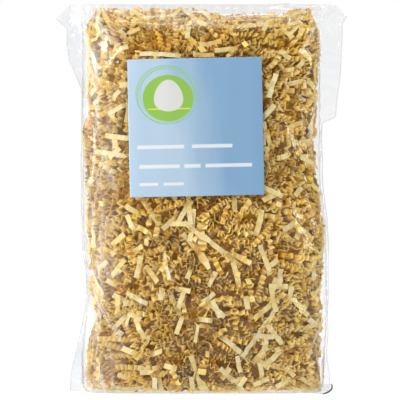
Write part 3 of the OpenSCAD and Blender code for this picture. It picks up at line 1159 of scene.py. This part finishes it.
class Print(Shader):
    """Builds the label's printed colours from flat shapes, in millimetres from its middle."""

    def __init__(self, tree):
        super().__init__(tree)
        self.place = self.attribute("print_at").outputs["Vector"]
        apart = self.add("SeparateXYZ")
        self.link(self.place, apart.inputs[0])
        self.x, self.y = apart.outputs["X"], apart.outputs["Y"]

    def below(self, value, limit, soft):
        """1 where value is below limit, 0 above, soft between."""
        return self.maths("MULTIPLY_ADD", value, -1 / soft, limit / soft + 0.5, clamp=True)

    def length(self, dx, dy):
        return self.maths("SQRT", self.maths("MULTIPLY_ADD", dx, dx, self.maths("MULTIPLY", dy, dy)))

    def radius(self, x, y, wide, tall):
        """1 on the edge of an ellipse and less inside it."""
        dx = self.maths("DIVIDE", self.maths("SUBTRACT", self.x, x), wide)
        dy = self.maths("DIVIDE", self.maths("SUBTRACT", self.y, y), tall)
        return self.length(dx, dy)

    def disc(self, x, y, wide, tall):
        return self.below(self.radius(x, y, wide, tall), 1.0, 0.5 / wide)

    def ring(self, x, y, wide, tall, line):
        off = self.maths("ABSOLUTE", self.maths("SUBTRACT", self.radius(x, y, wide, tall), 1.0))
        return self.below(off, line / wide / 2, 0.4 / wide)

    def egg(self):
        up = self.maths("SUBTRACT", self.y, EGG_Y)
        narrow = self.maths("MULTIPLY_ADD", up, EGG_TAPER, 1.0)
        across = self.maths("DIVIDE", self.maths("SUBTRACT", self.x, EGG_X), EGG_HALF_W)
        dx, dy = self.maths("MULTIPLY", across, narrow), self.maths("DIVIDE", up, EGG_HALF_H)
        return self.below(self.length(dx, dy), 1.0, 0.06)

    def bar(self, x, y, wide, tall):
        dx = self.maths("ABSOLUTE", self.maths("SUBTRACT", self.x, x))
        dy = self.maths("ABSOLUTE", self.maths("SUBTRACT", self.y, y))
        return self.maths("MULTIPLY", self.below(dx, wide / 2, 0.6), self.below(dy, tall / 2, 0.6))


def label_material():
    """Satin label paper: blue, painted paler to the left and in soft upright bands as a painted highlight and
    sheen, with an egg on a green disc and plain bars.
    """
    mat, ink = new_material("label_print", Print)
    # Painted highlight and sheen: soft upright bands, and a slope that pales the blue to the left and a
    # little lower down.
    stretch = ink.add("Mapping", Scale=(0.07, 0.012, 1))
    ink.link(ink.place, stretch.inputs["Vector"])
    sheen_bands = ink.noise(stretch.outputs[0], Scale=1.0)
    highlight_slope = ink.maths("MULTIPLY_ADD", ink.y, 0.006, ink.maths("MULTIPLY_ADD", ink.x, 1 / 34, 0.17))
    share = ink.maths("MULTIPLY_ADD", sheen_bands, 0.6, highlight_slope, clamp=True)
    colour = ink.mix(share, LABEL_HIGHLIGHT_PALE, LABEL_DEEP)
    for k in range(RINGS):
        x, y = RING_X + RING_WOBBLE * math.cos(2.3 * k), RING_Y + RING_WOBBLE * math.sin(2.3 * k)
        colour = ink.mix(ink.ring(x, y, 19.6 - 0.7 * k, 18.8 - 0.5 * k, 0.45), colour, RING_GREEN)
    colour = ink.mix(ink.disc(*DISC), colour, DISC_GREEN)
    colour = ink.mix(ink.bar(*LINE), colour, LINE_YELLOW)
    colour = ink.mix(ink.egg(), colour, EGG_WHITE)
    for bar in BARS:
        colour = ink.mix(ink.bar(*bar), colour, BAR_WHITE)
    bsdf = ink.add("BsdfPrincipled", Roughness=0.38, Specular_IOR_Level=0.45)
    ink.link(colour, bsdf.inputs["Base Color"])
    ink.bump(ink.noise(ink.place, Scale=1.6), bsdf, 0.12, 0.1 * MM)
    ink.surface(bsdf)
    return mat


def make_label():
    """The label, lying on the front film with a few soft upright waves."""
    steps = 120
    across, up = np.meshgrid(*[np.linspace(-0.5, 0.5, steps) * LABEL_SIDE] * 2)
    c, s = math.cos(LABEL_TILT), math.sin(LABEL_TILT)
    across = across * LABEL_WIDE / LABEL_SIDE
    x = LABEL_X + LABEL_SHIFT + across * c - up * s
    z = LABEL_Z + across * s + up * c
    share = np.clip(np.abs(x - BODY_X) / half_width(z), 0, 1)
    swell = waves(np.stack([across, up * 0.25], axis=-1), 24 * MM, 6, 12)
    y = middle_y(z) - half_depth(z) * (1 - share**SQUARENESS) ** (1 / SQUARENESS) - 0.45 * MM
    y -= 0.3 * MM * (1 + swell)
    piece = slab("label_sheet", np.stack([x, y, z], axis=-1), 0.16 * MM, label_material(), soft=True)
    places = np.stack([across, up, np.zeros_like(up)], axis=-1).reshape(-1, 3) / MM
    set_attribute(piece, "print_at", np.concatenate([places, places]).ravel(), "FLOAT_VECTOR")
    return piece


label = make_label()
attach(label, "pack")
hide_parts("label")

# ---- the stage, the light and the camera ----


def area_light(name, place, target, size, power):
    """A light panel. The one at the left is near the bag, so the camera doesn't see it."""
    data = bpy.data.lights.new(name, "AREA")
    data.shape = "RECTANGLE"
    data.size, data.size_y = size
    data.energy = power
    lamp = bpy.data.objects.new(name, data)
    lamp.location = place
    lamp.rotation_euler = (Vector(target) - Vector(place)).to_track_quat("-Z", "Y").to_euler()
    lamp.visible_camera = name != "left"
    bpy.context.scene.collection.objects.link(lamp)


# (name, place, where it points, size, watts)
LIGHTS = (
    ("key", (-0.75, -1.1, 0.95), (0, 0, 0.13), (0.35, 0.5), 8.8),
    ("fill", (1.0, -0.9, 0.62), (0, 0, 0.13), (0.25, 0.9), 6.2),
    ("left", (-0.2, -0.1, 0.14), (-0.03, 0, 0.13), (0.06, 0.3), 0.34),
    ("top", (0.1, -0.25, 1.2), (0, 0, 0.1), (0.9, 0.3), 4.9),
)
FLOOR = 4.0
FLOOR_GLOW = 0.985
# How much the room glows anywhere, and how much more behind the bag and above it
ROOM_LEAST, ROOM_MORE = 0.13, 0.76
# The camera's distance, its height and what it spans at the bag's front face
CAMERA_AWAY = 1.5
CAMERA_Z = 125 * MM
VIEW_SPAN = 260 * MM
FRONT_OUT = 10 * MM


def studio():
    """A white room that glows most behind the bag and above it, a floor that glows white, and lights."""
    scene = bpy.context.scene
    scene.view_settings.view_transform = "Standard"
    scene.world = bpy.data.worlds.new("studio")
    scene.world.use_nodes = True
    room = Shader(scene.world.node_tree)
    sky = room.nodes["Background"]
    sky.inputs["Color"].default_value = (1, 1, 1, 1)
    towards = room.add("SeparateXYZ")
    room.link(room.add("TexCoord").outputs["Generated"], towards.inputs[0])
    above = room.maths("MULTIPLY", towards.outputs["Z"], 0.6)
    walls = room.maths("MULTIPLY_ADD", towards.outputs["Y"], 1.6, above, clamp=True)
    glow = room.maths("MULTIPLY_ADD", walls, ROOM_MORE, ROOM_LEAST)
    seen = room.add("LightPath").outputs["Is Camera Ray"]
    room.link(room.maths("MAXIMUM", seen, glow), sky.inputs["Strength"])
    mat, shader = new_material("white_paper_floor")
    bsdf = shader.add("BsdfPrincipled", Base_Color=(0.05, 0.05, 0.05, 1), Roughness=0.9)
    bsdf.inputs["Emission Color"].default_value = (1, 1, 1, 1)
    bsdf.inputs["Emission Strength"].default_value = FLOOR_GLOW
    shader.surface(bsdf)
    corners = np.array([(-1, -1, 0), (1, -1, 0), (1, 1, 0), (-1, 1, 0)]) * FLOOR
    mesh_object("floor", corners, [(0, 1, 2, 3)], material=mat)
    for light in LIGHTS:
        area_light(*light)


def camera():
    data = bpy.data.cameras.new("camera")
    data.sensor_width = 36
    span = VIEW_SPAN * CAMERA_AWAY / (CAMERA_AWAY - FRONT_OUT)
    data.lens = data.sensor_width * CAMERA_AWAY / span
    data.clip_end = 20
    cam = bpy.data.objects.new("camera", data)
    cam.location = (0, -CAMERA_AWAY, CAMERA_Z)
    cam.rotation_euler = (math.pi / 2, 0, 0)
    bpy.context.scene.collection.objects.link(cam)
    bpy.context.scene.camera = cam


studio()
camera()
